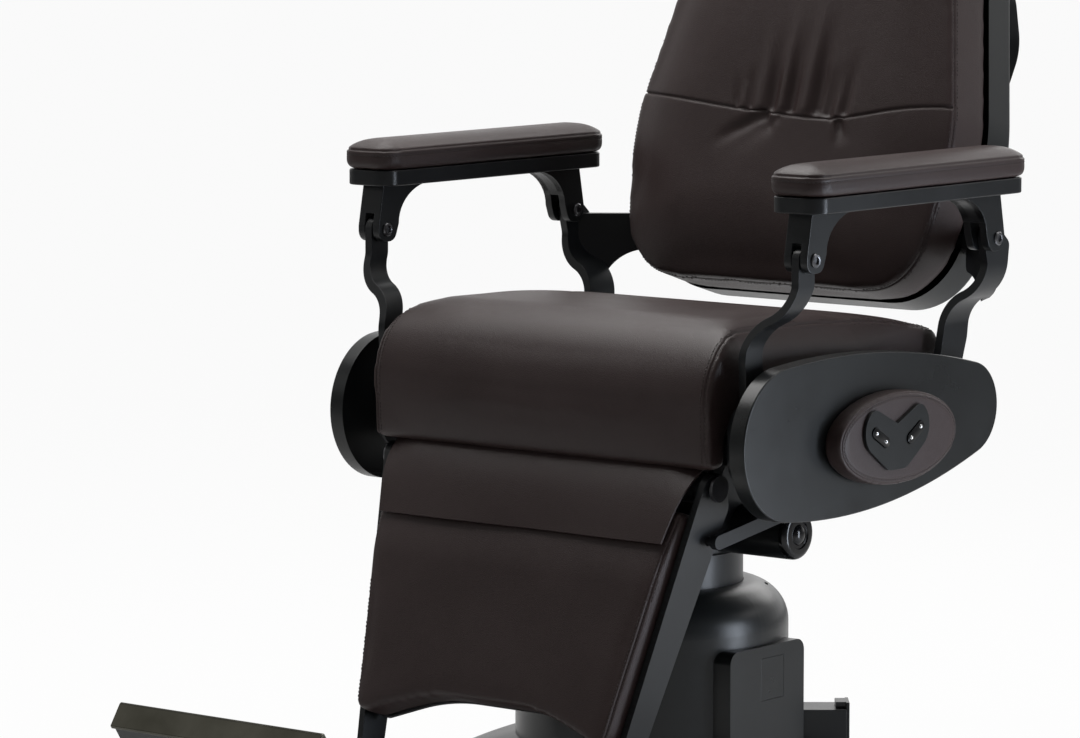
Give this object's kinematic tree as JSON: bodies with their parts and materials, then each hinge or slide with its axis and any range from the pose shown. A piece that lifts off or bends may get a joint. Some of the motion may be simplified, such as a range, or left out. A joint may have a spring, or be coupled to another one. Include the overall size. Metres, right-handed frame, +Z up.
{
  "type": "barber chair",
  "caption": "Electric barber chair: padded seat, reclining back with level armrests, linked legrest and footrest, sliding headrest, on a lifting, swivelling column with a round base.",
  "frame": {"origin": "on the floor under the swivel axis, in the middle of the base's underside", "axes": "+Z up along the swivel axis, -Y the way the sitter faces, +X the sitter's left"},
  "size_m": [0.696, 1.233, 1.2775],
  "materials": {
    "leather": "semi-matt dark brown upholstery",
    "black_metal": "satin black paint",
    "black_plastic": "satin black",
    "button_plastic": "gloss black",
    "steel": "machined",
    "polished_metal": "polished dark nickel",
    "rubber": "matt",
    "plywood": "raw plywood"
  },
  "bodies": {
    "base": {"base_pad": "rubber", "base_plate": "black_metal", "base_dome": "black_metal", "column_cover": "black_plastic", "lift_cylinder": "steel", "cylinder_bolts": "steel", "control_box": "black_plastic", "control_box_hatch": "black_plastic", "pump_motor": "steel", "inlet_box": "black_metal", "inlet_socket": "black_plastic"},
    "lift": {"lift_ram": "steel", "lift_sleeve": "black_metal", "swivel_housing": "black_metal", "swivel_washer": "black_plastic"},
    "seat": {"swivel_head": "black_metal", "cross_tube": "black_metal", "cross_tube_caps": "black_plastic", "tube_saddles": "black_metal", "seat_frame": "black_metal", "seat_board": "plywood", "seat_bolts": "steel", "seat_cushion": "leather", "hip_plates": "black_metal", "side_covers": "black_plastic", "side_pads": "leather", "keypads": "black_plastic", "pivot_pins": "steel", "legrest_brackets": "black_metal", "actuator_body": "black_metal", "front_flap": "leather"},
    "rocker_front_left": {"rocker_front_left": "button_plastic"},
    "rocker_front_right": {"rocker_front_right": "button_plastic"},
    "rocker_rear_left": {"rocker_rear_left": "button_plastic"},
    "rocker_rear_right": {"rocker_rear_right": "button_plastic"},
    "back": {"back_leg_left": "black_metal", "back_leg_right": "black_metal", "back_shaft": "black_metal", "back_frame": "black_metal", "back_shell": "black_plastic", "back_cushion": "leather", "rear_handle": "black_plastic"},
    "headrest": {"headrest_posts": "steel"},
    "headpad": {"headrest_plate": "black_metal", "headrest_pad": "leather"},
    "arm_left": {"arm_base_left": "black_metal", "arm_pad_left": "leather", "arm_bolts_left": "steel"},
    "arm_right": {"arm_base_right": "black_metal", "arm_pad_right": "leather", "arm_bolts_right": "steel"},
    "front_leg_left": {"front_leg_left": "black_metal"},
    "front_leg_right": {"front_leg_right": "black_metal"},
    "legrest": {"legrest_bars": "black_metal", "legrest_board": "steel", "legrest_pad": "leather"},
    "links": {"legrest_links": "black_metal"},
    "rod": {"actuator_rod": "steel"},
    "footrest": {"footrest_body": "black_plastic", "footrest_tread": "polished_metal"}
  },
  "joints": [
    {"name": "lift", "type": "slide", "parent": "base", "child": "lift", "axis": [0, 0, 1], "range_m": [0, 0.16]},
    {"name": "swivel", "type": "hinge", "parent": "lift", "child": "seat", "pos_m": [0, 0, 0.321], "axis": [0, 0, 1], "continuous": true},
    {"name": "recline", "type": "hinge", "parent": "seat", "child": "back", "pos_m": [0, 0.205, 0.485], "axis": [-1, 0, 0], "range_deg": [0, 30]},
    {"name": "arm_level_left", "type": "hinge", "parent": "back", "child": "arm_left", "pos_m": [0.31, 0.226, 0.679], "axis": [-1, 0, 0], "range_deg": [-30.2, 0.2]},
    {"name": "arm_level_right", "type": "hinge", "parent": "back", "child": "arm_right", "pos_m": [-0.31, 0.226, 0.679], "axis": [-1, 0, 0], "range_deg": [-30.2, 0.2]},
    {"name": "front_leg_left_swing", "type": "hinge", "parent": "seat", "child": "front_leg_left", "pos_m": [0.2621, -0.15, 0.485], "axis": [-1, 0, 0], "range_deg": [-0.2, 30.2]},
    {"name": "front_leg_right_swing", "type": "hinge", "parent": "seat", "child": "front_leg_right", "pos_m": [-0.2621, -0.15, 0.485], "axis": [-1, 0, 0], "range_deg": [-0.2, 30.2]},
    {"name": "legrest_swing", "type": "hinge", "parent": "seat", "child": "legrest", "pos_m": [0, -0.185, 0.425], "axis": [-1, 0, 0], "range_deg": [-0.2, 30.2], "deforming": ["front_flap"]},
    {"name": "link_swing", "type": "hinge", "parent": "back", "child": "links", "pos_m": [0, 0.205, 0.425], "axis": [-1, 0, 0], "range_deg": [-30.2, 0.2]},
    {"name": "actuator_stroke", "type": "slide", "parent": "seat", "child": "rod", "axis": [0, -1, 0], "range_m": [-0.0005, 0.036]},
    {"name": "headrest_height", "type": "slide", "parent": "back", "child": "headrest", "axis": [0, 0.2756, 0.9613], "range_m": [0, 0.08]},
    {"name": "headrest_tilt", "type": "hinge", "parent": "headrest", "child": "headpad", "pos_m": [0, 0.46165, 1.18073], "axis": [-1, 0, 0], "range_deg": [-14, 20]},
    {"name": "footrest_fold", "type": "hinge", "parent": "legrest", "child": "footrest", "pos_m": [0, -0.668, 0.09], "axis": [-1, 0, 0], "range_deg": [0, 100]},
    {"name": "rocker_front_left_press", "type": "hinge", "parent": "seat", "child": "rocker_front_left", "pos_m": [0.3303, -0.0095, 0.472], "axis": [0, 0.515, 0.8572], "range_deg": [-4, 4], "stiffness_Nm_per_rad": 0.3},
    {"name": "rocker_front_right_press", "type": "hinge", "parent": "seat", "child": "rocker_front_right", "pos_m": [-0.3303, -0.0095, 0.472], "axis": [0, 0.515, 0.8572], "range_deg": [-4, 4], "stiffness_Nm_per_rad": 0.3},
    {"name": "rocker_rear_left_press", "type": "hinge", "parent": "seat", "child": "rocker_rear_left", "pos_m": [0.3303, 0.0575, 0.472], "axis": [0, -0.515, 0.8572], "range_deg": [-4, 4], "stiffness_Nm_per_rad": 0.3},
    {"name": "rocker_rear_right_press", "type": "hinge", "parent": "seat", "child": "rocker_rear_right", "pos_m": [-0.3303, 0.0575, 0.472], "axis": [0, -0.515, 0.8572], "range_deg": [-4, 4], "stiffness_Nm_per_rad": 0.3}
  ],
  "couplings": [
    {"joint": "arm_level_left", "follows": "recline", "ratio": -1},
    {"joint": "arm_level_right", "follows": "recline", "ratio": -1},
    {"joint": "front_leg_left_swing", "follows": "recline", "ratio": 1},
    {"joint": "front_leg_right_swing", "follows": "recline", "ratio": 1},
    {"joint": "legrest_swing", "follows": "recline", "ratio": 1},
    {"joint": "link_swing", "follows": "recline", "ratio": -1},
    {"joint": "actuator_stroke", "follows": "recline", "m_per_rad": 0.066845}
  ]
}
